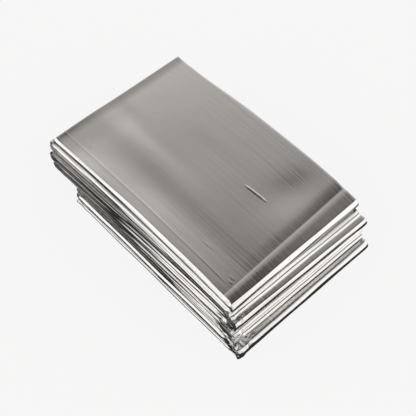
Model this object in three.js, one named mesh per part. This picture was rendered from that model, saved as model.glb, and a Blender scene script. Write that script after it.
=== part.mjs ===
// An emergency foil blanket as it lies folded. The sheet of metallised film is first folded
// lengthwise into a flat strip, and the strip is then laid back and forth in twelve leaves, so the
// whole blanket is one piece. Three thick flaps show their rounded folds at the front end, each
// reaching further out than the one above it, with thin pleats between them. The lowest flap stops
// short at the back, and the flaps spread to the left as they go down.
//
// Units are millimetres and +Z is up. +X runs along the leaves to the front end, where the flaps'
// folds show, and +Y runs across them to the right. The underside lies on z = 0.
import * as THREE from "three";

// ---- Driving dimensions -------------------------------------------------------------------------

// The two kinds of fold: a leaf's thickness, and the gap between a fold's own two leaves.
const FLAP = { thick: 2.3, gap: 0.7, noseSteps: 10 };
const PLEAT = { thick: 0.85, gap: 0.4, noseSteps: 6 };
const FOLD_SPACING = 0.35; // free height between one fold and the next

// The front folds from the bottom to the top. nose is the x of the rounded end, and back the x where
// the upper leaf turns into the next fold, each at the left and at the right side. lowerLeft,
// upperLeft, lowerRight and upperRight are the y of a leaf's side edge, at the back and at the front.
const FOLDS = [
  {
    kind: FLAP, nose: [71.2, 70.4], back: [-40.8, -42.0],
    lowerLeft: [-44.2, -44.7], upperLeft: [-43.9, -44.3], lowerRight: [36.4, 36.8], upperRight: [36.8, 36.9],
  },
  {
    kind: PLEAT, nose: [68.6, 68.0], back: [-41.6, -43.0],
    lowerLeft: [-42.4, -43.4], upperLeft: [-43.2, -42.6], lowerRight: [37.0, 36.6], upperRight: [37.6, 37.2],
  },
  {
    kind: PLEAT, nose: [66.6, 67.4], back: [-58.2, -56.6],
    lowerLeft: [-42.0, -43.6], upperLeft: [-42.4, -42.0], lowerRight: [37.8, 37.4], upperRight: [38.0, 37.8],
  },
  {
    kind: FLAP, nose: [64.6, 66.6], back: [-60.6, -58.4],
    lowerLeft: [-42.6, -40.9], upperLeft: [-42.2, -40.4], lowerRight: [38.2, 39.0], upperRight: [38.6, 39.2],
  },
  {
    kind: PLEAT, nose: [61.4, 62.6], back: [-62.2, -59.0],
    lowerLeft: [-40.4, -40.6], upperLeft: [-40.2, -39.8], lowerRight: [38.2, 38.4], upperRight: [38.0, 38.8],
  },
  {
    kind: FLAP, nose: [60.0, 60.4], back: [-59.6, -58.4],
    lowerLeft: [-41.4, -40.4], upperLeft: [-39.5, -38.9], lowerRight: [38.0, 39.4], upperRight: [38.0, 39.4],
  },
];
const FREE_END = [-39.8, -40.8]; // the x of the lowest leaf's free end, left and right

const BACK_STEPS = 6; // facets round a fold at the back end
const LEAF_STEPS = 8; // stations along a leaf
const TOP_LEAF_STEPS = 20;
const WIDTH_STEPS = 5; // across a leaf's face
const EDGE_STEPS = 4; // round a leaf's side edge

// How the pack of leaves has settled.
const CROWN = { rise: 0.07, half: 66 }; // its middle stands this share higher than its ends
const BOW = { left: 1.5, right: 1.1, half: 60 }; // its sides bow to the right between the ends
const SIDE_DROP = 0.4; // the top leaf's side edges lie this much lower than its middle
const SAG = { depth: 0.8, from: -43, run: 14, below: 17 }; // the flaps over the lowest one's end sink
const NOSE_CORNER = { reach: 5, depth: 0.8 }; // a fold is pulled back a little at its two corners
const NOSE_WAVE = { depth: 0.22, length: 38 }; // and is not quite straight between them
const EDGE_WAVE = { depth: 0.3, length: 43, turn: 1.9 }; // the side edges wander, each its own way

// The crease that an inner fold has printed across the top leaf, a little way behind the nose.
const CREASE = { x: 50.5, skew: -0.03, run: 12, depth: 0.6, recover: 0.4, band: 5 };

// ---- The leaves, worked out from the folds ------------------------------------------------------

const LEFT = 0;
const RIGHT = 1;
const mixed = (a, b, share) => a + (b - a) * share;
const smooth = (t) => {
  const s = Math.min(1, Math.max(0, t));
  return s * s * (3 - 2 * s);
};

// The leaves from the bottom to the top, each with its heights, its ends and its side edges.
function leavesOf(folds) {
  const leaves = [];
  let bottom = 0;
  let back = FREE_END;
  for (const fold of folds) {
    const { kind } = fold;
    const upper = bottom + kind.thick + kind.gap;
    const { nose, lowerLeft, lowerRight, upperLeft, upperRight } = fold;
    leaves.push({ kind, bottom, top: bottom + kind.thick, nose, back, edges: [lowerLeft, lowerRight] });
    back = fold.back;
    leaves.push({ kind, bottom: upper, top: upper + kind.thick, nose, back, edges: [upperLeft, upperRight] });
    bottom = upper + kind.thick + FOLD_SPACING;
  }
  return leaves;
}

const LEAVES = leavesOf(FOLDS);
const TOP_LEAF = LEAVES.length - 1;
const HEIGHT = LEAVES[TOP_LEAF].top;

// Half the height of a pair of leaves, and the x where their round end has its centre.
const roundRadius = (lower, upper) => (upper.top - lower.bottom) / 2;
const frontCentre = (lower, upper, side) => lower.nose[side] - roundRadius(lower, upper);
const backCentre = (lower, upper, side) => lower.back[side] + roundRadius(lower, upper);

// A side edge's y at a place along a leaf: from its back value to its front value, with a wave.
function edgeAt(index, side, x) {
  const { edges, back, nose } = LEAVES[index];
  const [atBack, atFront] = edges[side];
  const phase = index * EDGE_WAVE.turn + side * 1.3;
  const wave = EDGE_WAVE.depth * Math.sin((2 * Math.PI * x) / EDGE_WAVE.length + phase);
  return mixed(atBack, atFront, smooth((x - back[side]) / (nose[side] - back[side]))) + wave;
}

// ---- The walk along the strip -------------------------------------------------------------------

// A cut is one place along the strip, at one side of it. under and over are the [x, z] of the
// strip's two faces: under is the face that lies down on the bottom leaf, and stays the same face
// all the way. leaves and mix say between which two leaves the cut lies.
function leafCuts(index, side) {
  const leaf = LEAVES[index];
  const below = LEAVES[index - 1];
  const above = LEAVES[index + 1];
  const forward = index % 2 === 0;
  const front = forward ? frontCentre(leaf, above, side) : frontCentre(below, leaf, side);
  let rear = leaf.back[side];
  if (forward && below) rear = backCentre(below, leaf, side);
  if (!forward && above) rear = backCentre(leaf, above, side);

  const steps = index === TOP_LEAF ? TOP_LEAF_STEPS : LEAF_STEPS;
  const cuts = [];
  for (let i = 0; i <= steps; i++) {
    const x = mixed(rear, front, forward ? i / steps : 1 - i / steps);
    const faces = [[x, leaf.bottom], [x, leaf.top]];
    const [under, over] = forward ? faces : faces.reverse();
    cuts.push({ under, over, leaves: [index, index], mix: 0 });
  }
  return cuts;
}

// The round end between two leaves: a half circle round the outside, and one round the gap.
function roundCuts(lowerIndex, side) {
  const lower = LEAVES[lowerIndex];
  const upper = LEAVES[lowerIndex + 1];
  const atFront = lowerIndex % 2 === 0;
  const out = atFront ? 1 : -1;
  const centre = (atFront ? frontCentre : backCentre)(lower, upper, side);
  // the point at an angle of the half circle that spans from one height to another
  const arc = (bottom, top, angle) => [
    centre + out * ((top - bottom) / 2) * Math.cos(angle),
    (top + bottom) / 2 + ((top - bottom) / 2) * Math.sin(angle),
  ];
  const steps = atFront ? lower.kind.noseSteps : BACK_STEPS;
  const cuts = [];
  for (let i = 1; i < steps; i++) {
    const angle = Math.PI * (i / steps - 0.5);
    const faces = [arc(lower.bottom, upper.top, angle), arc(lower.top, upper.bottom, angle)];
    const [under, over] = atFront ? faces : faces.reverse();
    cuts.push({ under, over, leaves: [lowerIndex, lowerIndex + 1], mix: i / steps });
  }
  return cuts;
}

function walk(side) {
  const ends = LEAVES.slice(0, TOP_LEAF).map((_, index) => roundCuts(index, side));
  return LEAVES.flatMap((_, index) => [...leafCuts(index, side), ...(ends[index] ?? [])]);
}

// ---- How the pack settles -----------------------------------------------------------------------

const arch = (x, half) => Math.max(0, 1 - (x / half) ** 2);

// The fall of the top leaf at a place: down to the crease, then partly up again to the nose.
function creaseDrop(x, y) {
  const along = x - (CREASE.x + CREASE.skew * y);
  if (along < 0) return CREASE.depth * smooth(1 + along / CREASE.run);
  return CREASE.depth * (1 - CREASE.recover * smooth(along / CREASE.band));
}

// Moves a point of the flat-laid pack to where it lies in the settled one. left and right are the
// side edges at that place.
function settle(x, y, z, left, right) {
  const across = (y - left) / (right - left); // 0 at the left edge, 1 at the right one
  const level = z / HEIGHT;
  const nearNose = smooth((x - 52) / 8);
  const toCorner = smooth(1 - Math.min(y - left, right - y) / NOSE_CORNER.reach);
  const wave = NOSE_WAVE.depth * Math.sin((2 * Math.PI * y) / NOSE_WAVE.length + z);
  const bow = mixed(BOW.left, BOW.right, across) * arch(x, BOW.half) * level ** 2;
  const drop = (creaseDrop(x, y) + SIDE_DROP * (2 * across - 1) ** 4) * level ** 2;
  const sag = SAG.depth * smooth((SAG.from - x) / SAG.run) * smooth((SAG.below - z) / 5);
  return new THREE.Vector3(
    x + (wave - NOSE_CORNER.depth * toCorner) * nearNose,
    y + bow,
    z * (1 + CROWN.rise * arch(x, CROWN.half)) - drop - sag,
  );
}

// ---- The solid ----------------------------------------------------------------------------------

// Where the loop round the strip has its points, as [run, out, share]. run goes across a face from
// the left edge's round to the right one's, out is how far the point stands off into that round, and
// share goes through the thickness, from 0 on the under face to 1 on the over face.
function loopPlaces() {
  const face = Array.from({ length: WIDTH_STEPS + 1 }, (_, i) => i / WIDTH_STEPS);
  const turns = Array.from({ length: EDGE_STEPS - 1 }, (_, i) => (Math.PI * (i + 1)) / EDGE_STEPS);
  const edge = (run, sign) => turns.map((a) => [run, sign * Math.sin(a), (1 - Math.cos(a)) / 2]);
  return [
    ...face.map((run) => [run, 0, 0]),
    ...edge(1, 1),
    ...face.map((run) => [1 - run, 0, 1]),
    ...edge(0, -1).reverse(),
  ];
}

const LOOP = loopPlaces();

// The closed loop of points round the strip at one place along it, from its cut at each side.
function loopAt(leftCut, rightCut) {
  const round = Math.hypot(leftCut.over[0] - leftCut.under[0], leftCut.over[1] - leftCut.under[1]) / 2;
  const edge = (cut, side) => {
    const x = (cut.under[0] + cut.over[0]) / 2;
    return mixed(edgeAt(cut.leaves[0], side, x), edgeAt(cut.leaves[1], side, x), cut.mix);
  };
  const left = edge(leftCut, LEFT);
  const right = edge(rightCut, RIGHT);
  return LOOP.map(([run, out, share]) => {
    const y = mixed(left + round, right - round, run) + out * round;
    const side = (y - left) / (right - left);
    const [x, z] = [0, 1].map((axis) => mixed(
      mixed(leftCut.under[axis], rightCut.under[axis], side),
      mixed(leftCut.over[axis], rightCut.over[axis], side),
      share,
    ));
    return settle(x, y, z, left, right);
  });
}

// A fan of faces that closes one free end of the strip, round a point in its middle.
function endCap(points, start, outwards) {
  const middle = points.length;
  const centre = new THREE.Vector3();
  for (let i = 0; i < LOOP.length; i++) centre.addScaledVector(points[start + i], 1 / LOOP.length);
  points.push(centre);
  const faces = LOOP.map((_, i) => [start + i, start + ((i + 1) % LOOP.length)]);
  return faces.flatMap(([a, b]) => (outwards ? [b, middle, a] : [a, middle, b]));
}

// Skins the loops into one closed surface that faces outwards.
function skin(loops) {
  const points = loops.flat();
  const faces = [];
  for (let start = 0; start + LOOP.length < points.length; start += LOOP.length) {
    for (let i = 0; i < LOOP.length; i++) {
      const a = start + i;
      const b = start + ((i + 1) % LOOP.length);
      faces.push(a, b, a + LOOP.length, b, b + LOOP.length, a + LOOP.length);
    }
  }
  const last = points.length - LOOP.length;
  faces.push(...endCap(points, 0, false), ...endCap(points, last, true));
  return new THREE.BufferGeometry().setFromPoints(points).setIndex(faces);
}

// The blanket, with the middle of its underside at the origin.
function makeBlanket() {
  const [leftWalk, rightWalk] = [LEFT, RIGHT].map(walk);
  const geometry = skin(leftWalk.map((cut, i) => loopAt(cut, rightWalk[i])));
  geometry.computeBoundingBox();
  const { min, max } = geometry.boundingBox;
  geometry.translate(-(min.x + max.x) / 2, -(min.y + max.y) / 2, -min.z);
  geometry.computeVertexNormals();
  const film = new THREE.MeshStandardMaterial({ color: 0xc9c5c1, roughness: 0.25, metalness: 1 });
  const mesh = new THREE.Mesh(geometry, film);
  mesh.name = "foil_blanket";
  return mesh;
}

const blanket = new THREE.Group();
blanket.add(makeBlanket());

export default blanket;
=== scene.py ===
"""The looks of a folded emergency foil blanket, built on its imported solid.

The blanket is one sheet of metallised film. It was folded lengthwise into a flat strip of many
plies, and the strip was laid back and forth in twelve leaves. This script makes that strip as a
flat grid, folds the grid along its leaves, and lets the pile settle, with the creases, the loose
ply edges and the crumpled corners that such a packet has.

Sizes in the tables are millimetres, in the pile's own frame: x along the leaves to the front end,
y across them to the right, z up from the surface. Meshes are in metres, in the solid's frame.
"""

import logging
import math
from dataclasses import dataclass, field
from enum import Enum
from functools import partial
from typing import Any

import bmesh
import bpy
import numpy as np
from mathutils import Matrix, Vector, noise

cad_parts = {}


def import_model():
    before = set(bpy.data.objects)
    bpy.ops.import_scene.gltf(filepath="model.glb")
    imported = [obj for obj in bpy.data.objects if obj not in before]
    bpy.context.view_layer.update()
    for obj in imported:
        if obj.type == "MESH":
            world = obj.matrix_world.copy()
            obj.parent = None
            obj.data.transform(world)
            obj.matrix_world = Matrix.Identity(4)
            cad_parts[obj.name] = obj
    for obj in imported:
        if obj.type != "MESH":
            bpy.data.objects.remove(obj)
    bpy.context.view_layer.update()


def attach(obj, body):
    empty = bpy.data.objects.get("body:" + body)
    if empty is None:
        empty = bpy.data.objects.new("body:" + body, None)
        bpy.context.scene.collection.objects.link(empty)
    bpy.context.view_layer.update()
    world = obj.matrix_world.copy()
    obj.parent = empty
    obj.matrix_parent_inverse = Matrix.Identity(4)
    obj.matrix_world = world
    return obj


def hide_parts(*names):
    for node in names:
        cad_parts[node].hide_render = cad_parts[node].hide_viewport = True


LOG = logging.getLogger("foil_blanket")

MM = 0.001  # metres in a millimetre
PILE_CENTRE = (4.425, -2.329)  # where the solid's origin lies in the pile's frame
MERGE_DISTANCE = 1e-8  # metres within which two points of a mesh are one
LEFT, RIGHT = 0, 1
WANDER_LANE = 7.31  # how far two lanes lie apart in the noise, in its own cells
WANDER_GAIN = 1.6  # brings the noise to about -1 to 1

Array = np.ndarray
Pair = tuple[float, float]
Triple = tuple[float, float, float]


def linear(hex_colour: str) -> tuple[float, float, float, float]:
    """Turn an sRGB hex colour into the linear values that a shader takes.

    Args:
        hex_colour: The colour, such as "#c8c4c0".

    Returns:
        Red, green, blue and an alpha of 1.
    """
    parts = [int(hex_colour[i : i + 2], 16) / 255 for i in (1, 3, 5)]
    low = [p / 12.92 if p <= 0.04045 else ((p + 0.055) / 1.055) ** 2.4 for p in parts]
    return low[0], low[1], low[2], 1.0


def smooth(t: Array | float) -> Array:
    """Ease a share from 0 to 1, flat at both ends.

    Args:
        t: The share, or an array of them. Values outside 0 to 1 are held at the ends.

    Returns:
        The eased share.
    """
    s = np.clip(t, 0.0, 1.0)
    return s * s * (3.0 - 2.0 * s)


def mixed(a: Array | float, b: Array | float, share: Array | float) -> Array | float:
    """Mix two values by a share that is 0 at the first and 1 at the second."""
    return a + (b - a) * share


def arch(x: Array, half: float) -> Array:
    """Give a flat arch that is 1 at 0 and 0 from half outwards."""
    return np.maximum(0.0, 1.0 - (x / half) ** 2)


def wander(place: Array, lane: float) -> Array:
    """Wander smoothly between about -1 and 1 along a line.

    Args:
        place: How far along the line, in wavelengths.
        lane: Which line it is. Two lanes wander apart from each other.

    Returns:
        The wander at each place.
    """
    flat = [noise.noise(Vector((p, lane * WANDER_LANE, 0.5))) for p in np.ravel(place)]
    return np.reshape(flat, np.shape(place)) * WANDER_GAIN


class FoldKind(Enum):
    """The two kinds of fold, by leaf thickness and the gap between the two leaves, in mm."""

    FLAP = (2.3, 0.7)
    PLEAT = (0.85, 0.4)

    @property
    def thick(self) -> float:
        """The thickness of one leaf."""
        return self.value[0]

    @property
    def gap(self) -> float:
        """The gap between the fold's own two leaves."""
        return self.value[1]


@dataclass(frozen=True)
class Fold:
    """One front fold, with its lower and its upper leaf.

    nose is the x of the rounded end and back the x where the upper leaf turns into the next fold,
    at the left and at the right. The edges are the y of a leaf's side, at the back and the front.
    """

    kind: FoldKind
    nose: Pair
    back: Pair
    lower_left: Pair
    upper_left: Pair
    lower_right: Pair
    upper_right: Pair


FLAP, PLEAT = FoldKind.FLAP, FoldKind.PLEAT
FOLD_SPACING = 0.35  # free height between one fold and the next
FREE_END = (-39.8, -40.8)  # the x of the lowest leaf's free end, left and right
# kind, nose, back, lower left, upper left, lower right, upper right; from the bottom to the top
FOLDS = (
    Fold(FLAP, (71.1, 70.85), (-40.3, -42.0), (-44.2, -44.7), (-43.9, -44.3), (36.4, 36.8), (36.8, 36.9)),
    Fold(PLEAT, (66.3, 67.0), (-40.4, -43.0), (-43.0, -43.1), (-42.9, -42.9), (37.0, 36.6), (37.6, 37.2)),
    Fold(PLEAT, (64.8, 65.4), (-58.2, -56.6), (-42.7, -42.8), (-42.6, -42.1), (37.8, 37.4), (38.0, 37.8)),
    Fold(FLAP, (64.5, 65.8), (-60.6, -58.4), (-42.5, -41.3), (-42.1, -40.4), (38.2, 39.6), (38.6, 39.8)),
    Fold(PLEAT, (61.2, 62.2), (-62.2, -59.0), (-41.2, -40.4), (-40.7, -39.8), (38.2, 38.4), (38.0, 38.8)),
    Fold(FLAP, (60.3, 59.2), (-59.6, -58.4), (-39.9, -40.4), (-38.7, -39.2), (38.0, 40.1), (38.0, 40.1)),
)


@dataclass(frozen=True)
class Side:
    """How one leaf's side is made up of a lower and an upper ply.

    split is the share of the leaf's height where the lower ply ends, and ledge how far that ply
    stands out beyond the upper one there, in mm. A lean is how far a ply's face falls back for
    each mm that it rises, at the back, the middle and the front. Under about 0.5 the face mirrors
    the painted shade on the floor near the packet's foot, and over 0.6 the light that comes in low.
    """

    split: float
    ledge: float
    lower: Triple
    upper: Triple


# split, ledge, lower leans, upper leans; from the bottom leaf to the top one
LEFT_SIDES = (
    Side(0.45, 0.15, (0.85, 0.76, 0.85), (0.80, 0.80, 0.85)),
    Side(0.68, 0.08, (0.85, 0.85, 0.85), (0.00, 0.30, 0.80)),
    Side(0.50, 0.00, (0.00, 0.10, 0.80), (0.00, 0.10, 0.80)),
    Side(0.50, 0.00, (0.00, 0.30, 0.85), (0.00, 0.30, 0.85)),
    Side(0.50, 0.00, (0.00, 0.50, 0.85), (0.00, 0.50, 0.85)),
    Side(0.50, 0.00, (0.00, 0.75, 0.80), (0.00, 0.75, 0.80)),
    Side(0.50, 0.10, (0.10, 0.50, 0.85), (0.15, 0.70, 0.85)),
    Side(0.50, 0.10, (0.15, 0.62, 0.85), (0.20, 0.20, 0.40)),
    Side(0.50, 0.00, (0.20, 0.10, 0.30), (0.20, 0.10, 0.30)),
    Side(0.50, 0.00, (0.30, 0.65, 0.75), (0.30, 0.65, 0.75)),
    Side(0.45, 0.10, (0.00, 0.70, 0.80), (0.75, 0.80, 0.85)),
    Side(0.52, 0.00, (0.20, 0.56, 0.66), (0.90, 0.90, 1.10)),
)
RIGHT_SIDE = Side(0.5, 0.05, (0.10, 0.30, 0.45), (0.30, 0.50, 0.60))
SIDE_POINTS = 13  # how many points a leaf's side has, from its under face to its over face
SPLIT_POINTS = (5, 6, 7)  # those where its plies part, where the surface turns sharply
FOOT_ARC = (-60.0, -30.0, 0.0)  # degrees of its points round its lower long corner
HEAD_ARC = (0.0, 30.0, 60.0, 90.0)  # and round its upper one
LEAN_DRIFT = (0.05, 0.35)  # how much the leans wander along the left side and the right one

# The outline of a front fold in its own half heights: how far out from the fold's centre, and how
# far up. A flap has a slanting shoulder over a blunt tip, and a pleat slants from its top to its
# foot, with a ledge between its two plies. The top flap's underside is lifted behind its tip, and
# the lowest flap swells a little before its shoulder.
TOP_NOSE = (
    (-0.60, 1.0), (-0.20, 1.0), (0.12, 1.0), (0.33, 0.985), (0.43, 0.92), (0.60, 0.73),
    (0.76, 0.55), (0.87, 0.42), (0.95, 0.24), (0.99, 0.05), (1.0, -0.12), (0.97, -0.30),
    (0.88, -0.43), (0.70, -0.50), (0.42, -0.56), (0.10, -0.67), (-0.20, -0.84), (-0.60, -1.0),
)
MIDDLE_NOSE = (
    (-0.10, 1.0), (0.22, 1.0), (0.42, 0.99), (0.53, 0.94), (0.68, 0.79), (0.83, 0.60),
    (0.93, 0.42), (0.98, 0.20), (1.0, -0.02), (0.99, -0.28), (0.96, -0.52), (0.88, -0.75),
    (0.70, -0.92), (0.3, -0.99), (-0.10, -1.0),
)
LOW_NOSE = (
    (-1.25, 0.97), (-0.85, 0.915), (-0.50, 0.92), (-0.15, 0.97), (0.05, 1.0), (0.20, 0.985),
    (0.32, 0.935), (0.43, 0.87), (0.57, 0.76), (0.72, 0.61), (0.86, 0.43), (0.95, 0.24),
    (0.99, 0.04), (0.99, -0.22), (0.95, -0.50), (0.86, -0.74), (0.70, -0.92), (0.3, -0.99),
    (-0.60, -1.0), (-1.25, -1.0),
)
PLEAT_NOSE = (
    (-1.50, 1.0), (-1.34, 1.0), (-1.20, 0.96), (-1.06, 0.87), (-0.62, 0.53), (-0.24, 0.23),
    (-0.12, 0.15), (0.06, 0.115), (0.17, 0.08), (0.30, -0.02), (0.60, -0.27), (0.85, -0.49),
    (0.97, -0.64), (1.0, -0.78), (0.94, -0.93), (0.60, -1.0), (0.0, -1.0), (-0.80, -1.0), (-1.50, -1.0),
)
NOSE_OUTLINES = (LOW_NOSE, PLEAT_NOSE, PLEAT_NOSE, MIDDLE_NOSE, PLEAT_NOSE, TOP_NOSE)
FACE_WIDTH = 77.2  # the width that the next stretches are measured on
# The stretches of the top's points across the strip: from, to and spacing, from its left edge.
FACE_STRETCHES = (
    (1.9, 4.0, 0.7), (4.0, 5.6, 0.2), (5.6, 9.6, 0.4), (9.6, 11.2, 0.8), (11.2, 13.2, 0.3),
    (13.2, 43.8, 1.7), (43.8, 47.4, 0.2), (47.4, 75.3, 1.9),
)
# The strip's free end in half thicknesses: how far its faces lie from the middle, and how far in.
FREE_END_SHAPE = (
    (0.995, 0.30), (0.96, 0.14), (0.88, 0.06), (0.70, 0.02), (0.45, 0.005), (0.15, 0.0),
)


@dataclass(frozen=True)
class Leaf:
    """One leaf of the pile, with its heights, its two ends and its side edges."""

    kind: FoldKind
    bottom: float
    top: float
    nose: Pair
    back: Pair
    edges: tuple[Pair, Pair]


def leaves_of(folds: tuple[Fold, ...]) -> list[Leaf]:
    """Stack the folds' leaves from the bottom to the top.

    Args:
        folds: The front folds, lowest first.

    Returns:
        Two leaves for each fold, lowest first.
    """
    leaves: list[Leaf] = []
    bottom, back = 0.0, FREE_END
    for fold in folds:
        thick = fold.kind.thick
        upper = bottom + thick + fold.kind.gap
        lower_edges = (fold.lower_left, fold.lower_right)
        upper_edges = (fold.upper_left, fold.upper_right)
        leaves.append(Leaf(fold.kind, bottom, bottom + thick, fold.nose, back, lower_edges))
        back = fold.back
        leaves.append(Leaf(fold.kind, upper, upper + thick, fold.nose, back, upper_edges))
        bottom = upper + thick + FOLD_SPACING
    return leaves


@dataclass(frozen=True)
class Station:
    """One cut across the strip, before its sides are shaped.

    cut holds [side][face][x, z], with the under face first. The station lies between two leaves,
    and mix is how far it is from the lower one to the upper one.
    """

    cut: Array
    low: int
    high: int
    mix: float = 0.0


@dataclass(frozen=True)
class Walk:
    """The same for all of the strip's stations, in arrays, in the strip's order."""

    cuts: Array
    low: Array
    high: Array
    mix: Array

    @classmethod
    def of(cls, stations: list[Station]) -> "Walk":
        """Put stations into arrays."""
        columns = [(s.cut, s.low, s.high, s.mix) for s in stations]
        return cls(*(np.array(column) for column in zip(*columns)))


@dataclass
class Settling:
    """How the pile has settled, much as the solid has it. Lengths are in mm."""

    height: float
    crown_rise: float = 0.07  # the middle stands this share higher than the ends
    crown_half: float = 66.0
    bow: Pair = (0.20, 0.7)  # how far the left and the right side bow to the right, at the top
    bow_half: float = 60.0
    sag_depth: float = 0.8  # the leaves over the lowest flap's end sink, the ones high up less
    sag_from: float = -43.0
    sag_run: float = 14.0
    sag_below: float = 17.0
    sag_fade: float = 5.0
    nose_from: float = 52.0  # the x from which the round ends are shaped, over the run
    nose_run: float = 8.0
    nose_wave: Pair = (0.06, 38.0)  # depth and length of the wave along a round end
    corner_reach: float = 1.5  # a round end is pulled back a little at its two corners
    corner_depth: float = 0.12

    def settle(self, x: Array, y: Array, z: Array, left: Array, right: Array) -> Array:
        """Move points of the flat-laid pile to where they lie in the settled one.

        Args:
            x: Along the leaves.
            y: Across them.
            z: Height.
            left: The left edge's y at each point.
            right: The right edge's y at each point.

        Returns:
            The settled points, in an array with x, y and z last.
        """
        across = (y - left) / (right - left)
        level = z / self.height
        near_nose = smooth((x - self.nose_from) / self.nose_run)
        to_corner = smooth(1.0 - np.minimum(y - left, right - y) / self.corner_reach)
        depth, length = self.nose_wave
        wave = depth * np.sin(2 * math.pi * y / length + z)
        bow = mixed(self.bow[0], self.bow[1], across) * arch(x, self.bow_half) * level**2
        sag = self.sag_depth * smooth((self.sag_from - x) / self.sag_run)
        sag = sag * smooth((self.sag_below - z) / self.sag_fade)
        new_x = x + (wave - self.corner_depth * to_corner) * near_nose
        new_z = z * (1.0 + self.crown_rise * arch(x, self.crown_half)) - sag
        return np.stack([new_x, y + bow, new_z], axis=-1)


@dataclass(frozen=True)
class SoftStep:
    """A soft step in the top, over the edge of a ply: it rises towards the left edge, in mm."""

    x: float
    y: float
    run: float  # how far along the leaf it reaches either way
    width: float  # from its foot to its head
    rise: float


@dataclass(frozen=True)
class Dent:
    """A soft round hollow in the top, in mm."""

    x: float
    y: float
    along: float  # how far it reaches along the leaf, either way
    across: float
    depth: float


@dataclass(frozen=True)
class Ridge:
    """A small sharp wrinkle that stands on the top, between two points, in mm."""

    start: Pair
    end: Pair
    height: float
    left_width: float
    right_width: float
    taper: float = 0.25  # the share of its length over which each end fades


SOFT_STEPS = (
    SoftStep(-22.0, -8.5, 28.0, 9.0, 0.36),
    SoftStep(-14.0, -17.5, 44.0, 7.0, -0.20),
    SoftStep(-14.0, -15.7, 40.0, 2.0, -0.035),
    SoftStep(-14.0, -20.2, 40.0, 2.4, -0.05),
    SoftStep(4.0, -27.0, 34.0, 12.0, 0.38),
    SoftStep(-48.0, -1.0, 9.0, 7.0, -0.16),
    SoftStep(-8.0, 13.0, 14.0, 9.0, -0.16),
)

# The second one is a swelling.
DENTS = (
    Dent(36.0, 20.0, 9.0, 14.0, 0.70),
    Dent(-62.0, -22.0, 20.0, 16.0, -0.60),
)

RIDGES = (
    Ridge((19.2, 7.2), (32.2, 8.4), 0.34, 0.30, 0.45),
    Ridge((27.0, -26.3), (34.5, -25.6), 0.05, 0.4, 0.35),
    Ridge((49.2, -29.9), (51.0, -29.0), 0.14, 0.3, 0.3),
    Ridge((50.6, -31.6), (51.8, -30.4), 0.14, 0.3, 0.3),
    Ridge((-49.0, -27.5), (-43.5, -30.0), 0.07, 0.6, 0.5),
)


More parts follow.
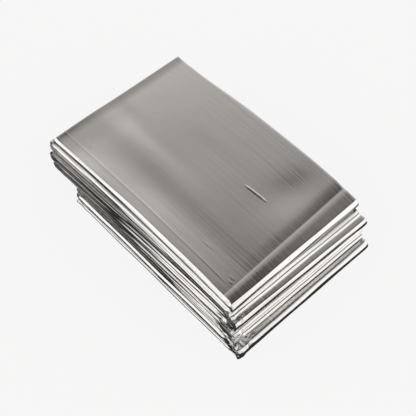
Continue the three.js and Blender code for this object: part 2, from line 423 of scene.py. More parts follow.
@dataclass
class TopCreases:
    """The relief of the top leaf: what the plies under it have printed through. In mm."""

    crease_x: float = 51.5  # the crease behind the round end, and how it slants across the leaf
    crease_skew: float = -0.045
    fall: Pair = (0.06, 0.95)  # how far the top falls to the crease, at the left and the right
    fall_ease: Pair = (1.25, 0.15)  # the slope and the start of the change between the two
    fall_run: float = 6.0
    fall_power: float = 1.8
    band: float = 8.5  # the band in front of the crease: it rises, rounds over and falls evenly
    band_slope: float = 0.22
    band_bend: float = 0.055
    band_bend_run: float = 3.2
    lip_width: float = 18.2  # the top rises to a lip along its left edge
    lip_rise: float = 1.3
    lip_slope: float = 0.085  # how steeply the lip climbs outside its line
    lip_from: float = -60.0  # the x where the lip starts, and how far along it is full
    lip_run: float = 34.0
    lip_middle: float = 2.0  # where it is highest, and how far it reaches either way
    lip_half: float = 66.0
    line_inward: float = 6.2  # a fine line along the lip
    line_height: float = 0.06
    line_width: float = 0.35
    line_end: float = 50.0
    line_fade: float = 6.0
    curl_run: float = 5.0  # the back edge curls up
    curl_rise: float = 0.50

    def relief(self, x: Array, y: Array, inward: Array, share: Array, behind: Array) -> Array:
        """Give the height of the top leaf's relief.

        Args:
            x: Along the leaf.
            y: Across it.
            inward: How far each point lies from the left edge.
            share: The same as a share of the leaf's width.
            behind: How far each point lies from the back edge.

        Returns:
            The height at each point, in mm.
        """
        along = x - (self.crease_x + self.crease_skew * y)
        slope, start = self.fall_ease
        fall = mixed(self.fall[0], self.fall[1], smooth(slope * share - start))
        before = -fall * np.clip(1.0 + along / self.fall_run, 0.0, 1.0) ** self.fall_power
        t = np.clip(along, 0.0, self.band)
        bent = np.minimum(t, self.band_bend_run)
        even = self.band_slope - 2.0 * self.band_bend * self.band_bend_run
        after = -fall + self.band_slope * bent - self.band_bend * bent**2 + even * (t - bent)
        height = np.where(along < 0, before, after)
        for step in SOFT_STEPS:
            reach = np.exp(-(((x - step.x) / step.run) ** 2))
            height = height + step.rise * reach * (1.0 - smooth((y - step.y) / step.width + 0.5))
        for dent in DENTS:
            far = ((x - dent.x) / dent.along) ** 2 + ((y - dent.y) / dent.across) ** 2
            height = height - dent.depth * np.exp(-far)
        lip = self.lip_rise * np.clip(1.0 - inward / self.lip_width, 0.0, 1.0) ** 2
        at_line = self.lip_rise * (1.0 - self.line_inward / self.lip_width) ** 2
        from_line = inward - self.line_inward
        lip = np.where(from_line < 0, at_line - self.lip_slope * from_line, lip)
        lip = lip * smooth((x - self.lip_from) / self.lip_run)
        line = self.line_height * np.exp(-((from_line / self.line_width) ** 2))
        line = line * smooth((self.line_end - x) / self.line_fade)
        height = height + lip * arch(x - self.lip_middle, self.lip_half) + line
        curl = self.curl_rise * np.clip(1.0 - behind / self.curl_run, 0.0, 1.0) ** 2
        return height + curl

    @staticmethod
    def wrinkles(x: Array, y: Array) -> Array:
        """Give the height of the small standing wrinkles.

        Args:
            x: Along the top leaf.
            y: Across it.

        Returns:
            The height at each point, in mm.
        """
        height = np.zeros(np.broadcast(x, y).shape)
        for ridge in RIDGES:
            (x0, y0), (x1, y1) = ridge.start, ridge.end
            length = math.hypot(x1 - x0, y1 - y0)
            along = ((x - x0) * (x1 - x0) + (y - y0) * (y1 - y0)) / length**2
            off = ((y - y0) * (x1 - x0) - (x - x0) * (y1 - y0)) / length
            width = np.where(off < 0, ridge.left_width, ridge.right_width)
            taper = smooth(np.minimum(along, 1.0 - along) / ridge.taper)
            height = height + ridge.height * np.exp(-((off / width) ** 2)) * taper
        return height


@dataclass(frozen=True)
class Crumple:
    """A corner where the film is crumpled, by its middle, reach, depth and fineness, in mm."""

    middle: Triple
    reach: float
    depth: float
    size: float


CRUMPLE_SEED = 7  # without one, the noise starts from the clock and each run differs
CRUMPLE_DETAIL = (2.3, 0.45)  # how much finer a second noise is, and its share of the first
REST_HEIGHT = 1.2  # below it, crumples lift the film less and less
CRUMPLES = (
    Crumple((67.0, -43.0, 4.5), 12.0, 0.8, 3.4),
    Crumple((65.0, -44.0, 4.0), 10.0, 0.8, 2.2),
    Crumple((70.5, -44.0, 2.5), 5.5, 0.85, 1.8),
    Crumple((58.0, -42.0, 10.0), 9.0, 0.7, 2.6),
    Crumple((61.0, -39.5, 16.5), 6.5, 0.6, 2.3),
    Crumple((58.5, -39.0, 21.5), 5.0, 0.35, 2.2),
    Crumple((-60.0, -40.0, 21.0), 7.0, 0.7, 2.8),
    Crumple((-57.0, -42.0, 12.5), 10.0, 0.7, 3.4),
    Crumple((-38.0, -43.0, 4.0), 8.0, 0.5, 3.4),
    Crumple((64.0, 38.0, 14.0), 4.0, 0.25, 2.6),
    Crumple((68.0, 36.5, 4.0), 4.0, 0.3, 2.8),
    Crumple((-58.0, 37.0, 14.0), 9.0, 0.6, 3.4),
)


@dataclass
class FoldedStrip:
    """The blanket's strip, laid back and forth.

    The strip's cross-section is a closed loop: its under face, its right side, its over face and
    its left side. A station is one such loop, and the stations follow the strip from its lowest
    leaf's free end to its top leaf's.
    """

    folds: tuple[Fold, ...] = FOLDS
    leaf_step: float = 4.2  # between stations, in a leaf's middle
    end_step: float = 1.6  # near its ends
    end_reach: float = 12.0
    top_step: float = 1.25  # on the top leaf, behind its crease and in front of it
    front_step: float = 0.9
    crease_steps: tuple[float, ...] = (-2.4, -1.6, -1.0, -0.6, -0.3, -0.1, 0.1, 0.35, 0.7, 1.2, 1.8)
    crease_reach: float = 6.5  # within it the top's stations turn to run with the crease
    back_steps: int = 10  # round a back fold
    over_points: int = 10  # across the strip's over face
    over_margin: float = 0.025
    edge_wave: float = 0.08  # depth and length of a side edge's wave
    edge_wave_length: float = 43.0
    edge_wave_turns: Pair = (1.9, 1.3)  # how its phase moves with each leaf and each side
    corner: float = 0.16  # radius of a flap's long corners
    pleat_corner: float = 0.25  # a pleat's, as a share of it
    groove: Pair = (0.07, 0.18)  # half the width and the depth between two plies, on a flap
    pleat_groove: Pair = (0.03, 0.0)
    bulge: float = 0.05  # how far a ply's face swells, as a share of its height
    lean_inset: float = 4.0  # from a leaf's ends to where its first and last lean hold
    lean_turns: tuple[Pair, Pair] = ((0.20, 0.28), (0.48, 0.30))  # where they change, and for how long
    lean_waves: Pair = (47.0, 39.0)  # the length over which the lower and the upper lean wander
    lane_steps: Pair = (100.0, 10.0)  # between the lanes of two sides' wanders, and of two leaves'
    split_wander: Pair = (0.05, 35.0)  # how much, and over what length
    ledge_wander: Pair = (0.10, 29.0)
    tip_run: float = 12.0  # how far back from a nose the lower folds' sides turn upright
    tip_leans: Pair = (0.0, 0.25)
    tip_leaves: int = 10
    nose_from: float = 50.0  # the x from which the round ends wander in and out, over the run
    nose_run: float = 9.0
    nose_wanders: tuple[Triple, Triple] = ((0.05, 21.0, 60.0), (0.02, 6.5, 80.0))  # size, length, lane
    print_power: int = 3  # how soon the top's relief fades through the leaves below it
    print_limit: float = 1.05
    creases: TopCreases = field(default_factory=TopCreases)

    def __post_init__(self) -> None:
        """Work out the leaves and how they settle."""
        self.leaves = leaves_of(self.folds)
        self.top_leaf = len(self.leaves) - 1
        self.settling = Settling(height=self.leaves[-1].top)
        self.walked = 0.0

    # ---- stations along the strip

    def edge_y(self, index: int, side: int, x: Array) -> Array:
        """Give the y of a leaf's side edge.

        Args:
            index: Which leaf.
            side: LEFT or RIGHT.
            x: Where along it.

        Returns:
            The edge's y at each x, with a slow wave.
        """
        leaf = self.leaves[index]
        at_back, at_front = leaf.edges[side]
        share = smooth((x - leaf.back[side]) / (leaf.nose[side] - leaf.back[side]))
        leaf_turn, side_turn = self.edge_wave_turns
        turn = 2 * math.pi * x / self.edge_wave_length + index * leaf_turn + side * side_turn
        return mixed(at_back, at_front, share) + self.edge_wave * np.sin(turn)

    def leaf_places(self, index: int, rear: float, front: float) -> list[float]:
        """Choose where along a leaf its stations lie, from the rear to the front.

        Args:
            index: Which leaf.
            rear: The x where it starts.
            front: The x where its round end starts.

        Returns:
            The stations' x, closer together at the ends and on the top leaf, and closest at its
            crease.
        """
        if index != self.top_leaf:
            first, last = rear + self.end_reach, front - self.end_reach
            ends = round(self.end_reach / self.end_step) + 1
            middle = np.linspace(first, last, round((last - first) / self.leaf_step) + 1)
            return [*np.linspace(rear, first, ends)[:-1], *middle, *np.linspace(last, front, ends)[1:]]
        fine = [self.creases.crease_x + step for step in self.crease_steps]
        before = np.linspace(rear, fine[0], round((fine[0] - rear) / self.top_step) + 1)[:-1]
        after = np.linspace(fine[-1], front, round((front - fine[-1]) / self.front_step) + 1)[1:]
        return [*before, *fine, *after]

    def leaf_cuts(self, index: int) -> list[Station]:
        """Make the stations of a leaf's flat stretch.

        Args:
            index: Which leaf.

        Returns:
            The stations, in the strip's order.
        """
        leaf = self.leaves[index]
        forward = index % 2 == 0
        partner = self.leaves[index + 1] if forward else self.leaves[index - 1]
        reach = abs(partner.top - leaf.bottom if forward else leaf.top - partner.bottom) / 2
        reach *= 1.0 - NOSE_OUTLINES[index // 2][0][0]
        front = [nose - reach for nose in leaf.nose]
        neighbour = index - 1 if forward else index + 1
        rear = [b + leaf.kind.thick / 2 for b in leaf.back]
        if 0 <= neighbour <= self.top_leaf:
            other = self.leaves[neighbour]
            span = max(leaf.top, other.top) - min(leaf.bottom, other.bottom)
            rear = [b + span / 2 for b in leaf.back]
        places = self.leaf_places(index, rear[LEFT], front[LEFT])
        cuts = []
        for x in places if forward else reversed(places):
            part = (x - rear[LEFT]) / (front[LEFT] - rear[LEFT])
            xs = (x, mixed(rear[RIGHT], front[RIGHT], part))
            faces = (leaf.bottom, leaf.top) if forward else (leaf.top, leaf.bottom)
            cut = [[[xs[side], z] for z in faces] for side in (LEFT, RIGHT)]
            cuts.append(Station(np.array(cut), index, index))
        return cuts

    @staticmethod
    def outline(points: tuple[Pair, ...], steps: int) -> Array:
        """Run a smooth (Catmull-Rom) curve through an outline's points, in even steps.

        Args:
            points: The outline, in half heights.
            steps: How many stretches to cut it into.

        Returns:
            The curve's points, in order.
        """
        known = np.array(points)
        padded = np.vstack([2 * known[0] - known[1], known, 2 * known[-1] - known[-2]])
        curve = []
        for place in np.linspace(0, len(known) - 1, steps + 1):
            i = min(int(place), len(known) - 2)
            t = place - i
            a, b, c, d = padded[i : i + 4]
            square, cube = 2 * a - 5 * b + 4 * c - d, 3 * b - 3 * c + d - a
            curve.append(0.5 * (2 * b + (c - a) * t + square * t**2 + cube * t**3))
        return np.array(curve)

    def round_cuts(self, lower: int) -> list[Station]:
        """Make the stations of the round end between two leaves.

        Args:
            lower: The lower of the two leaves.

        Returns:
            The stations, from the lower leaf to the upper one.
        """
        low, high = self.leaves[lower], self.leaves[lower + 1]
        at_front = lower % 2 == 0
        half = (high.top - low.bottom) / 2
        middle = (high.top + low.bottom) / 2
        inner_half = (high.bottom - low.top) / 2
        inner_middle = (high.bottom + low.top) / 2
        if at_front:
            shape = NOSE_OUTLINES[lower // 2]
            steps = 2 * (len(shape) - 1)
            outer = self.outline(shape, steps)[::-1]
        else:
            steps = self.back_steps
            angles = np.linspace(-math.pi / 2, math.pi / 2, steps + 1)
            outer = np.stack([np.cos(angles), np.sin(angles)], axis=-1)
        sign = 1.0 if at_front else -1.0
        cuts = []
        for i in range(1, steps):
            angle = math.pi * (i / steps - 0.5)
            sides = []
            for side in (LEFT, RIGHT):
                end = low.nose[side] - half if at_front else high.back[side] + half
                out = [end + sign * half * outer[i][0], middle + half * outer[i][1]]
                behind = half * min(0.0, outer[i][0]) + inner_half * math.cos(angle)
                inn = [end + sign * behind, inner_middle + inner_half * math.sin(angle)]
                sides.append([out, inn] if at_front else [inn, out])
            cuts.append(Station(np.array(sides), lower, lower + 1, i / steps))
        return cuts

    def end_cuts(self, index: int) -> list[Station]:
        """Round off the strip's free end on the lowest or the top leaf.

        Args:
            index: Which of the two leaves.

        Returns:
            The stations, in the strip's order.
        """
        leaf = self.leaves[index]
        half = leaf.kind.thick / 2
        middle = (leaf.top + leaf.bottom) / 2
        cuts = []
        for rise, inset in FREE_END_SHAPE:
            faces = (middle - half * rise, middle + half * rise)
            faces = faces if index == 0 else faces[::-1]
            cut = [[[back + half * inset, z] for z in faces] for back in leaf.back]
            cuts.append(Station(np.array(cut), index, index))
        return cuts[::-1] if index == 0 else cuts

    def walk(self) -> Walk:
        """Walk along the whole strip.

        Returns:
            All of its stations, in the strip's order.
        """
        stations = self.end_cuts(0)
        for index in range(len(self.leaves)):
            stations += self.leaf_cuts(index)
            if index < self.top_leaf:
                stations += self.round_cuts(index)
        return Walk.of(stations + self.end_cuts(self.top_leaf))

    # ---- the loop round the strip

    @staticmethod
    def face_places() -> list[float]:
        """Choose where across the under face the loop's points lie.

        The under face is the one that shows on top. Its points are closest where its fine creases
        run. The sides' own points start where these stop.

        Returns:
            The places, as shares of the face's width from its left edge.
        """
        places: list[float] = []
        for start, stop, spacing in FACE_STRETCHES:
            count = max(1, round((stop - start) / spacing))
            places += [mixed(start, stop, i / count) for i in range(count)]
        return [place / FACE_WIDTH for place in [*places, FACE_STRETCHES[-1][1]]]

    def lean_at(self, leans: Triple, along: Array) -> Array:
        """Give a lean at each place between its values at the back, the middle and the front."""
        first, second = (smooth((along - start) / run) for start, run in self.lean_turns)
        return mixed(mixed(leans[0], leans[1], first), leans[2], second)

    def side_profile(self, index: int, side: int, x: Array) -> tuple[Array, Array]:
        """Shape a leaf's side at places along it, from its under face to its over face.

        Args:
            index: Which leaf.
            side: LEFT or RIGHT.
            x: Where along it.

        Returns:
            For each place, how far each point of the side stands out in mm, and where it lies
            through the thickness, as a share from the under face.
        """
        leaf = self.leaves[index]
        thick = leaf.kind.thick
        row = LEFT_SIDES[index] if side == LEFT else RIGHT_SIDE
        lane = self.lane_steps[0] * side + self.lane_steps[1] * index
        reach = leaf.nose[side] - leaf.back[side] - 2 * self.lean_inset
        along = (x - leaf.back[side] - self.lean_inset) / reach
        near_tip = smooth((x - leaf.nose[side] + self.tip_run) / self.tip_run)
        near_tip = near_tip * (index < self.tip_leaves)
        drift = LEAN_DRIFT[side]
        lower = self.lean_at(row.lower, along) + drift * wander(x / self.lean_waves[0], lane)
        upper = self.lean_at(row.upper, along) + drift * wander(x / self.lean_waves[1], lane + 1.0)
        lower = mixed(lower, self.tip_leans[0], near_tip)
        upper = mixed(upper, self.tip_leans[1], near_tip)
        size, length = self.split_wander
        split = (row.split + size * wander(x / length, lane + 2.0)) * thick
        is_flap = leaf.kind is FLAP
        size, length = self.ledge_wander
        ledge = row.ledge + size * wander(x / length, lane + 3.0) * is_flap
        wide, deep = self.groove if is_flap else self.pleat_groove
        corner = self.corner if is_flap else self.pleat_corner * self.corner

        foot_end = split - wide
        head_start, head_end = split + wide, thick - corner
        foot_out = -lower * (foot_end - corner)
        head_out = foot_out - ledge
        top_out = head_out - upper * (head_end - head_start)
        zero = np.zeros_like(x)
        heights, outs = [zero], [zero - corner]
        for angle in FOOT_ARC:
            turn = math.radians(angle)
            heights.append(zero + corner + corner * math.sin(turn))
            outs.append(zero - corner + corner * math.cos(turn))
        heights += [(corner + foot_end) / 2, foot_end, split, head_start, (head_start + head_end) / 2]
        outs += [foot_out / 2 + self.bulge * foot_end, foot_out, foot_out - ledge / 2 - deep, head_out]
        outs += [(head_out + top_out) / 2 + self.bulge * (head_end - head_start)]
        for angle in HEAD_ARC:
            turn = math.radians(angle)
            heights.append(head_end + corner * math.sin(turn) + zero)
            outs.append(top_out - corner + corner * math.cos(turn))
        out = np.stack(outs, axis=-1)
        share = np.stack(heights, axis=-1) / thick
        return (out, share) if index % 2 == 0 else (out[:, ::-1], 1.0 - share[:, ::-1])

    def side_edges(self, walk: Walk, x: Array, side: int) -> tuple[Array, Array]:
        """Shape one side of the strip at all of its stations.

        Args:
            walk: The stations.
            x: Each station's place along the leaves, on that side.
            side: LEFT or RIGHT.

        Returns:
            What side_profile gives, between each station's two leaves.
        """
        tables = []
        for which in (walk.low, walk.high):
            out, share = np.zeros((2, len(x), SIDE_POINTS))
            for index in range(len(self.leaves)):
                here = np.flatnonzero(which == index)
                out[here], share[here] = self.side_profile(index, side, x[here])
            tables.append((out, share))
        mix = walk.mix[:, None]
        return mixed(tables[0][0], tables[1][0], mix), mixed(tables[0][1], tables[1][1], mix)

    # ---- the folded shape

    def points(self) -> tuple[Array, list[int]]:
        """Work out where every point of the strip lies.

        Returns:
            An array of stations by loop points by x, y and z, in mm in the pile's frame, and the
            loop points along which the surface turns sharply.
        """
        walk = self.walk()
        middle = walk.cuts.mean(axis=2)
        steps = np.linalg.norm(np.diff(middle.mean(axis=1), axis=0), axis=1)
        self.walked = float(steps.sum())

        left, right = (self.station_edges(walk, middle[:, side, 0], side) for side in (LEFT, RIGHT))
        left_out, left_share = self.side_edges(walk, middle[:, LEFT, 0], LEFT)
        right_out, right_share = self.side_edges(walk, middle[:, RIGHT, 0], RIGHT)
        under = np.array(self.face_places())[None, :]
        over = np.linspace(1.0 - self.over_margin, self.over_margin, self.over_points)[None, :]
        loop = (
            (mixed(left, right, under), np.zeros((len(left), under.size))),
            (right + right_out, right_share),
            (mixed(left, right, over), np.ones((len(left), over.size))),
            (left - left_out[:, ::-1], left_share[:, ::-1]),
        )
        y, shares = (np.hstack(parts) for parts in zip(*loop))
        sharp = [under.size + point for point in SPLIT_POINTS]
        sharp += [point + SIDE_POINTS + over.size for point in sharp]

        across = (y - left) / (right - left)
        faces = mixed(walk.cuts[:, None, LEFT], walk.cuts[:, None, RIGHT], across[:, :, None, None])
        flat = mixed(faces[:, :, 0], faces[:, :, 1], shares[:, :, None])
        x, z = flat[..., 0], flat[..., 1]
        x = x + self.follow_crease(x, y, walk.low)
        spots = self.settling.settle(x, y, z, left, right)
        spots[..., 2] += self.printed(spots, y - left, across, walk.low)
        self.waver(spots, walk)
        self.crumple(spots)
        return spots, sharp

    def station_edges(self, walk: Walk, x: Array, side: int) -> Array:
        """Find a side edge's y at every station, between those of its two leaves, in a column."""
        lower, upper = (
            np.array([self.edge_y(index, side, place) for index, place in zip(leaves, x)])
            for leaves in (walk.low, walk.high)
        )
        return mixed(lower, upper, walk.mix)[:, None]

    def follow_crease(self, x: Array, y: Array, low: Array) -> Array:
        """Shift the top leaf's stations along it, so that they run with its slanting crease."""
        near = smooth(1.0 - np.abs(x - self.creases.crease_x) / self.crease_reach)
        return self.creases.crease_skew * y * near * (low >= self.top_leaf - 1)[:, None]

    def printed(self, spots: Array, inward: Array, across: Array, low: Array) -> Array:
        """Give the relief that shows on the top leaf and fades through the leaves below it.

        Args:
            spots: The settled points.
            inward: How far each lies from the left edge.
            across: The same as a share of the strip's width.
            low: Each station's lower leaf.

        Returns:
            How far each point rises.
        """
        x, y, z = spots[..., 0], spots[..., 1], spots[..., 2]
        level = np.clip(z / self.settling.height, 0.0, self.print_limit) ** self.print_power
        behind = x - mixed(*self.leaves[-1].back, across)
        height = self.creases.relief(x, y, inward, across, behind) * level
        is_top = (low == self.top_leaf)[:, None]
        return height + self.creases.wrinkles(x, y) * is_top

    def waver(self, spots: Array, walk: Walk) -> None:
        """Let each round front end wander a little in and out along its length.

        Args:
            spots: The points, which are changed.
            walk: The stations that they lie on.
        """
        for fold in range(len(self.folds)):
            here = np.flatnonzero((walk.low // 2 == fold) & (walk.high // 2 == fold))
            x, y = spots[here, :, 0], spots[here, :, 1]
            near = smooth((x - self.nose_from) / self.nose_run)
            shifts = (size * wander(y / length, fold + lane) for size, length, lane in self.nose_wanders)
            spots[here, :, 0] += near * sum(shifts)

    @staticmethod
    def crumple(spots: Array) -> None:
        """Crumple the film at the packet's corners.

        Args:
            spots: The points, which are changed.
        """
        noise.seed_set(CRUMPLE_SEED)
        finer, weaker = CRUMPLE_DETAIL
        flat = spots.reshape(-1, 3)
        shift = np.zeros_like(flat)
        for spot in CRUMPLES:
            far = np.linalg.norm(flat - np.array(spot.middle), axis=1) / spot.reach
            for i in np.flatnonzero(far < 1.0):
                place = Vector(flat[i]) / spot.size
                push = noise.noise_vector(place) + weaker * noise.noise_vector(place * finer)
                shift[i] += np.array(push) * spot.depth * float(smooth(1.0 - far[i]))
        shift[:, 2] *= smooth(flat[:, 2] / REST_HEIGHT)
        flat += shift

    # ---- the mesh

    def build(self, name: str) -> bpy.types.Object:
        """Fold a flat grid into the strip's shape and close its ends.

        Args:
            name: What to call the piece.

        Returns:
            The piece, with its place in its mesh.
        """
        spots, sharp = self.points()
        spots[..., 0] -= PILE_CENTRE[0]
        spots[..., 1] -= PILE_CENTRE[1]
        spots[..., 2] = np.maximum(spots[..., 2], 0.0)
        stations, around = spots.shape[:2]

        bm = bmesh.new()
        uv_layer = bm.loops.layers.uv.new("strip")
        bmesh.ops.create_grid(bm, x_segments=stations - 1, y_segments=around, size=0.5)
        place = {}
        for vert in bm.verts:
            u = round((vert.co.x + 0.5) * (stations - 1))
            v = round((vert.co.y + 0.5) * around)
            place[vert.index] = (u, v)
        for face in bm.faces:
            face.smooth = True
            for loop in face.loops:
                u, v = place[loop.vert.index]
                loop[uv_layer].uv = (u / (stations - 1), v / around)
        for edge in bm.edges:
            (_, v0), (_, v1) = (place[vert.index] for vert in edge.verts)
            edge.smooth = not (v0 == v1 and v0 in sharp)
        for vert in bm.verts:
            u, v = place[vert.index]
            vert.co = Vector(spots[u, v % around]) * MM
        bmesh.ops.remove_doubles(bm, verts=bm.verts, dist=MERGE_DISTANCE)
        rims = [edge for edge in bm.edges if edge.is_boundary]
        caps = bmesh.ops.holes_fill(bm, edges=rims, sides=0)["faces"]
        bmesh.ops.triangulate(bm, faces=caps)
        bmesh.ops.recalc_face_normals(bm, faces=bm.faces)

        mesh = bpy.data.meshes.new(name)
        bm.to_mesh(mesh)
        bm.free()
        piece = bpy.data.objects.new(name, mesh)
        bpy.context.scene.collection.objects.link(piece)
        return piece


def add_node(
    tree: bpy.types.NodeTree, kind: str, links: dict[str | int, Any], **settings: Any
) -> bpy.types.Node:
    """Add a shader node with its settings and what feeds it.

    Args:
        tree: The node tree.
        kind: The node's type name, after "ShaderNode".
        links: Input names or numbers, each with a value or with the output that feeds it.
        settings: The node's own properties.

    Returns:
        The node.
    """
    node = tree.nodes.new("ShaderNode" + kind)
    for key, value in settings.items():
        setattr(node, key, value)
    for key, value in links.items():
        if isinstance(value, bpy.types.NodeSocket):
            tree.links.new(value, node.inputs[key])
        else:
            node.inputs[key].default_value = value
    return node


@dataclass(frozen=True)
class MetallisedFilm:
    """Vapour-metallised polyester film, about 12 micrometres thick.

    It was cast, stretched and coated with aluminium, so it is a mirror with a slightly warm tint,
    and its handling leaves fine draw lines along the strip and small crinkles. Real draw lines and
    ply edges are far finer than a render shows, so both are drawn as coarse as they need to show.
    """

    colour: str = "#efeeed"
    roughness: float = 0.10
    roughness_spread: Pair = (-0.03, 0.05)  # between the draw lines and on them
    roughness_noise: Pair = (0.3, 0.7)  # the lines' noise at those two
    draw_line_mm: float = 1.7  # across one draw line
    draw_line_run_mm: float = 70.0  # along it
    draw_line_depth: float = 0.07  # mm
    patch_mm: float = 45.0  # across the patches where the draw lines show more or less
    patch_noise: Pair = (0.38, 0.62)  # the noise where they show least, and where in full
    patch_least: float = 0.15
    ply_line_mm: float = 0.7  # up one ply edge on the packet's walls
    ply_line_run_mm: float = 45.0  # along it
    ply_line_depth: float = 0.11  # mm
    wall_facing: Pair = (0.75, 0.93)  # how far up a face looks, from walls to the packet's top
    crinkle_mm: float = 9.0
    crinkle_depth: float = 0.035  # mm

    def material(self) -> bpy.types.Material:
        """Build the film's material.

        Returns:
            The material.
        """
        material = bpy.data.materials.new("metallised_film")
        material.use_nodes = True
        tree = material.node_tree
        add = partial(add_node, tree)
        shader = tree.nodes["Principled BSDF"]
        shader.inputs["Base Color"].default_value = linear(self.colour)
        shader.inputs["Metallic"].default_value = 1.0

        # the patterns
        place = add("TexCoord", {}).outputs["Object"]
        long, wide = 1 / (self.draw_line_run_mm * MM), 1 / (self.draw_line_mm * MM)
        drawn = add("Mapping", {"Vector": place, "Scale": (long, wide, long)}).outputs["Vector"]
        fine = {"Scale": 1.0, "Roughness": 0.6}
        lines = add("TexNoise", {"Vector": drawn, "Detail": 3.0, **fine}).outputs["Fac"]
        long, high = 1 / (self.ply_line_run_mm * MM), 1 / (self.ply_line_mm * MM)
        stacked = add("Mapping", {"Vector": place, "Scale": (long, long, high)}).outputs["Vector"]
        plies = add("TexNoise", {"Vector": stacked, "Detail": 2.0, **fine}).outputs["Fac"]
        patch = {"Vector": place, "Scale": 1 / (self.patch_mm * MM), "Detail": 1.0}
        patches = add("TexNoise", patch).outputs["Fac"]
        crinkle = {"Vector": place, "Scale": 1 / (self.crinkle_mm * MM), "Detail": 2.0, "Roughness": 0.45}
        crinkles = add("TexNoise", crinkle).outputs["Fac"]

        # where they show: draw lines in patches, and ply edges on the walls alone
        start, end = self.patch_noise
        ends = {"From Min": start, "From Max": end, "To Min": self.patch_least, "To Max": 1.0}
        shown = add("MapRange", {"Value": patches, **ends}).outputs["Result"]
        facing = add("NewGeometry", {}).outputs["Normal"]
        facing_up = add("SeparateXYZ", {"Vector": facing}).outputs["Z"]
        start, end = self.wall_facing
        ends = {"From Min": start, "From Max": end, "To Min": 1.0, "To Max": 0.0}
        on_wall = add("MapRange", {"Value": facing_up, **ends}).outputs["Result"]

        # the relief that they leave, and their gloss
        relief: dict[str, Any] = {}
        for height, strength, depth in (
            (lines, shown, self.draw_line_depth),
            (plies, on_wall, self.ply_line_depth),
            (crinkles, 1.0, self.crinkle_depth),
        ):
            bump = {"Height": height, "Strength": strength, "Distance": depth * MM}
            relief = {"Normal": add("Bump", {**bump, **relief}).outputs["Normal"]}
        tree.links.new(relief["Normal"], shader.inputs["Normal"])
        least, most = (self.roughness + change for change in self.roughness_spread)
        start, end = self.roughness_noise
        ends = {"From Min": start, "From Max": end, "To Min": least, "To Max": most}
        dull = add("MapRange", {"Value": lines, **ends}).outputs["Result"]
        tree.links.new(dull, shader.inputs["Roughness"])
        return material


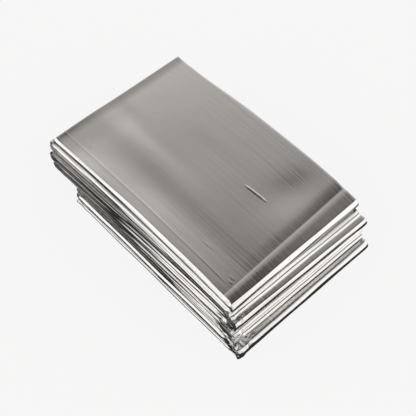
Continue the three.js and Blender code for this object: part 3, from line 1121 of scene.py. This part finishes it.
@dataclass
class Studio:
    """The pale floor, the soft light and the camera."""

    target: Triple = (6.175, -4.571, 12.0)  # mm
    elevation: float = 56.35  # degrees
    azimuth: float = 47.1  # degrees, from -Y towards +X
    distance: float = 464.0  # mm
    lens: float = 88.27  # mm
    sensor: float = 36.0  # mm
    clip_start: float = 0.01  # m
    floor_half: float = 3.0  # m
    floor_colour: str = "#f7f7f7"
    floor_glow: float = 0.935
    floor_matt: float = 0.12  # the share of it that takes the packet's faint shadow
    painted_foot_shade: float = 0.03  # painted shade: how bright the floor glows at the packet's foot, to all rays but the camera's
    painted_shade_reach: Pair = (0.11, 0.19)  # m from the middle, where that painted shade turns from dark to full
    low_tint: str = "#fffcf9"
    overhead_tint: str = "#fff9f4"
    overhead: Pair = (0.55, 0.75)  # the sine of the elevation from one tint to the other
    # sine of the elevation, the sky's brightness there to the sides, and the one along far_back's line
    sky: tuple[Triple, ...] = (
        (0.00, 1.15, 0.45), (0.42, 1.11, 0.60), (0.57, 0.88, 0.72), (0.64, 0.70, 0.62),
        (0.70, 0.50, 0.52), (0.76, 0.33, 0.41), (0.80, 0.180, 0.362), (0.834, 0.100, 0.322),
        (0.87, 0.075, 0.265), (0.90, 0.055, 0.165), (0.925, 0.045, 0.085), (0.95, 0.06, 0.08),
        (0.98, 0.22, 0.22), (1.0, 0.30, 0.30),
    )
    sky_scale: float = 2.0  # a curve holds values up to 1, so it holds the brightness over this
    far_back: Triple = (-0.73, 0.68, 0.0)
    to_far_back: Pair = (0.35, 0.95)  # the cosine with far_back's line, from one column to the other

    def build(self) -> None:
        """Make the floor, the light and the camera."""
        self.build_floor()
        self.build_sky()
        self.build_camera()

    def build_floor(self) -> None:
        """Make the floor, which takes a faint shadow, and which has a painted shade close to the packet:
        it glows dark there in the film's reflections alone.
        """
        bm = bmesh.new()
        bmesh.ops.create_grid(bm, x_segments=1, y_segments=1, size=self.floor_half)
        mesh = bpy.data.meshes.new("floor")
        bm.to_mesh(mesh)
        bm.free()
        floor = bpy.data.objects.new("floor", mesh)
        bpy.context.scene.collection.objects.link(floor)

        material = bpy.data.materials.new("pale_floor")
        mesh.materials.append(material)
        material.use_nodes = True
        tree = material.node_tree
        add = partial(add_node, tree)
        tree.nodes.remove(tree.nodes["Principled BSDF"])
        pale = linear(self.floor_colour)
        matt = add("BsdfDiffuse", {"Color": (*[self.floor_matt] * 3, 1.0)}).outputs[0]
        glow = add("Emission", {"Color": pale, "Strength": self.floor_glow}).outputs[0]
        seen = add("AddShader", {0: matt, 1: glow}).outputs[0]
        # painted shade: to all rays but the camera's, the floor glows dark near the packet and evenly
        # pale further out
        place = add("TexCoord", {}).outputs["Object"]
        reach = add("VectorMath", {0: place}, operation="LENGTH").outputs["Value"]
        near, far = self.painted_shade_reach
        ends = {"From Min": near, "From Max": far, "To Min": self.painted_foot_shade, "To Max": 1.0}
        light = add("MapRange", {"Value": reach, **ends}).outputs["Result"]
        mirrored_painted_shade = add("Emission", {"Color": pale, "Strength": light}).outputs[0]
        # the camera sees the even pale floor, and the film mirrors the painted shade
        path = add("LightPath", {}).outputs["Is Camera Ray"]
        both = add("MixShader", {0: path, 1: mirrored_painted_shade, 2: seen}).outputs[0]
        tree.links.new(both, tree.nodes["Material Output"].inputs["Surface"])

    def build_sky(self) -> None:
        """Make the studio's soft light: bright low down all round, darker overhead."""
        world = bpy.data.worlds.new("studio")
        bpy.context.scene.world = world
        world.use_nodes = True
        tree = world.node_tree
        add = partial(add_node, tree)
        way = add("TexCoord", {}).outputs["Generated"]
        up = add("SeparateXYZ", {"Vector": way}).outputs["Z"]
        levels = []
        for column in (1, 2):
            node = add("FloatCurve", {"Value": up})
            curve = node.mapping.curves[0]
            for i, row in enumerate(self.sky):
                place = (row[0], row[column] / self.sky_scale)
                if i < 2:  # a new curve has two points
                    curve.points[i].location = place
                else:
                    curve.points.new(*place)
            node.mapping.update()
            levels.append(node.outputs[0])
        level_way = add("VectorMath", {0: way, 1: (1, 1, 0)}, operation="MULTIPLY").outputs[0]
        level_way = add("VectorMath", {0: level_way}, operation="NORMALIZE").outputs[0]
        cosine = add("VectorMath", {0: level_way, 1: self.far_back}, operation="DOT_PRODUCT")
        cosine = add("Math", {0: cosine.outputs["Value"]}, operation="ABSOLUTE").outputs[0]
        start, end = self.to_far_back
        share = add("MapRange", {"Value": cosine, "From Min": start, "From Max": end}).outputs["Result"]
        level = add("Mix", {0: share, 2: levels[0], 3: levels[1]}).outputs[0]
        strength = add("Math", {0: level, 1: self.sky_scale}, operation="MULTIPLY").outputs[0]
        start, end = self.overhead
        share = add("MapRange", {"Value": up, "From Min": start, "From Max": end}).outputs["Result"]
        tints = {0: share, 6: linear(self.low_tint), 7: linear(self.overhead_tint)}
        tint = add("Mix", tints, data_type="RGBA").outputs[2]
        background = tree.nodes["Background"]
        tree.links.new(tint, background.inputs["Color"])
        tree.links.new(strength, background.inputs["Strength"])

    def build_camera(self) -> None:
        """Aim the camera at the packet from the front left, high up."""
        tilt, turn = math.radians(self.elevation), math.radians(self.azimuth)
        level = math.cos(tilt)
        back = Vector((math.sin(turn) * level, -math.cos(turn) * level, math.sin(tilt)))
        data = bpy.data.cameras.new("camera")
        data.lens = self.lens
        data.sensor_width = self.sensor
        data.clip_start = self.clip_start
        camera = bpy.data.objects.new("camera", data)
        camera.location = (Vector(self.target) + back * self.distance) * MM
        camera.rotation_euler = (-back).to_track_quat("-Z", "Y").to_euler()
        bpy.context.scene.collection.objects.link(camera)
        bpy.context.scene.camera = camera


def main() -> None:
    """Build the blanket on its solid, and the studio round it."""
    logging.basicConfig(level=logging.INFO, format="%(message)s")
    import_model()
    bpy.context.scene.view_settings.view_transform = "Standard"

    Studio().build()
    strip = FoldedStrip()
    blanket = strip.build("folded_blanket")
    blanket.data.materials.append(MetallisedFilm().material())
    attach(blanket, "root")
    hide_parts("foil_blanket")
    LOG.info("folded_blanket: %d faces, strip %.0f mm long", len(blanket.data.polygons), strip.walked)


if __name__ == "__main__":
    main()
